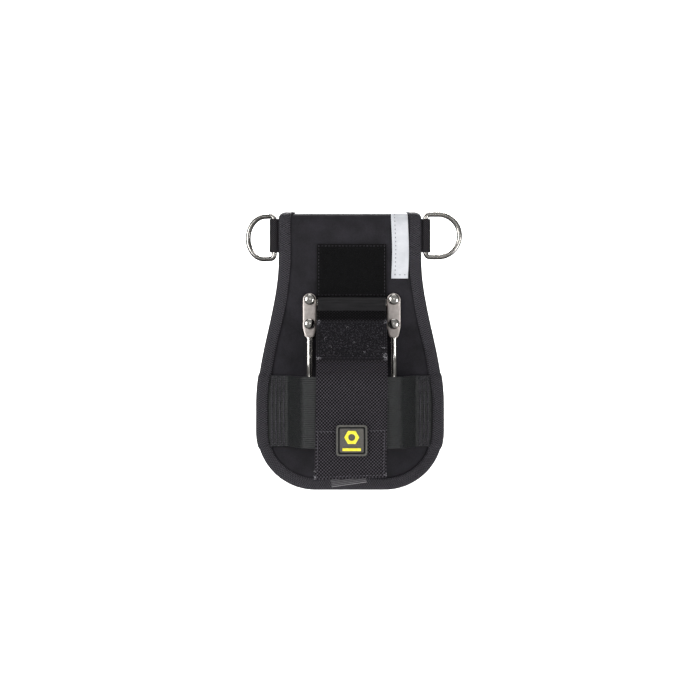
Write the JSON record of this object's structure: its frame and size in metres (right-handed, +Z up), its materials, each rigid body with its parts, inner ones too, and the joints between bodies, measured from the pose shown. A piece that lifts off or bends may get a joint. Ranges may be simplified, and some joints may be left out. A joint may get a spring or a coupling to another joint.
{
  "type": "hammer holster",
  "caption": "Bell-shaped padded belt holster with a riveted steel cradle, an elastic band round it, a hook-and-loop trap flap and side D-rings.",
  "frame": {"origin": "middle of the flat back face of the belt loop", "axes": "+X to the right seen from the front, +Y backwards towards the wearer, +Z up"},
  "size_m": [0.1564, 0.0611, 0.1993],
  "materials": {
    "fabric": "coarse black woven polyester",
    "board": "black sheet",
    "foam": "closed-cell foam",
    "binding": "ribbed black binding tape",
    "reflective": "silver reflective tape",
    "loop_fabric": "black loop pile",
    "hook_fabric": "black hook tape",
    "webbing": "ribbed black webbing",
    "ring_steel": "polished nickel plate",
    "cradle_steel": "polished nickel plate",
    "plate_steel": "plain sheet steel",
    "elastic": "ribbed black elastic",
    "badge_rubber": "moulded dark grey rubber",
    "badge_yellow": "moulded yellow rubber",
    "label": "grey woven label"
  },
  "bodies": {
    "pouch": {"front_cover": "fabric", "foam_pad": "foam", "stiffener_board": "board", "rear_cover": "fabric", "edge_binding": "binding", "belt_loop": "fabric", "reflective_strip": "reflective", "loop_patch": "loop_fabric", "d_ring_tab_left": "webbing", "d_ring_tab_right": "webbing", "cradle_loop": "cradle_steel", "crossbar": "cradle_steel", "rivet_upper_left": "cradle_steel", "rivet_lower_left": "cradle_steel", "rivet_upper_right": "cradle_steel", "rivet_lower_right": "cradle_steel", "backing_plate_left": "plate_steel", "backing_plate_right": "plate_steel", "elastic_band": "elastic", "closure_loop_patch": "loop_fabric"},
    "left_ring": {"d_ring_left": "ring_steel"},
    "right_ring": {"d_ring_right": "ring_steel"},
    "flap": {"trap_flap": "webbing", "hook_patch": "hook_fabric", "closure_hook_patch": "hook_fabric", "badge_base": "badge_rubber", "badge_emblem": "badge_yellow", "badge_bar": "badge_yellow", "care_label": "label"}
  },
  "joints": [
    {"name": "flap_lift", "type": "hinge", "parent": "pouch", "child": "flap", "pos_m": [0.0012, -0.0221, -0.0196], "axis": [-1, 0, 0], "range_deg": [0, 146]},
    {"name": "left_ring_swing", "type": "hinge", "parent": "pouch", "child": "left_ring", "pos_m": [-0.0543, -0.01355, 0.0286], "axis": [0, 0, -1], "range_deg": [-126, 54]},
    {"name": "right_ring_swing", "type": "hinge", "parent": "pouch", "child": "right_ring", "pos_m": [0.0543, -0.01355, 0.0286], "axis": [0, 0, 1], "range_deg": [-90, 90]}
  ]
}
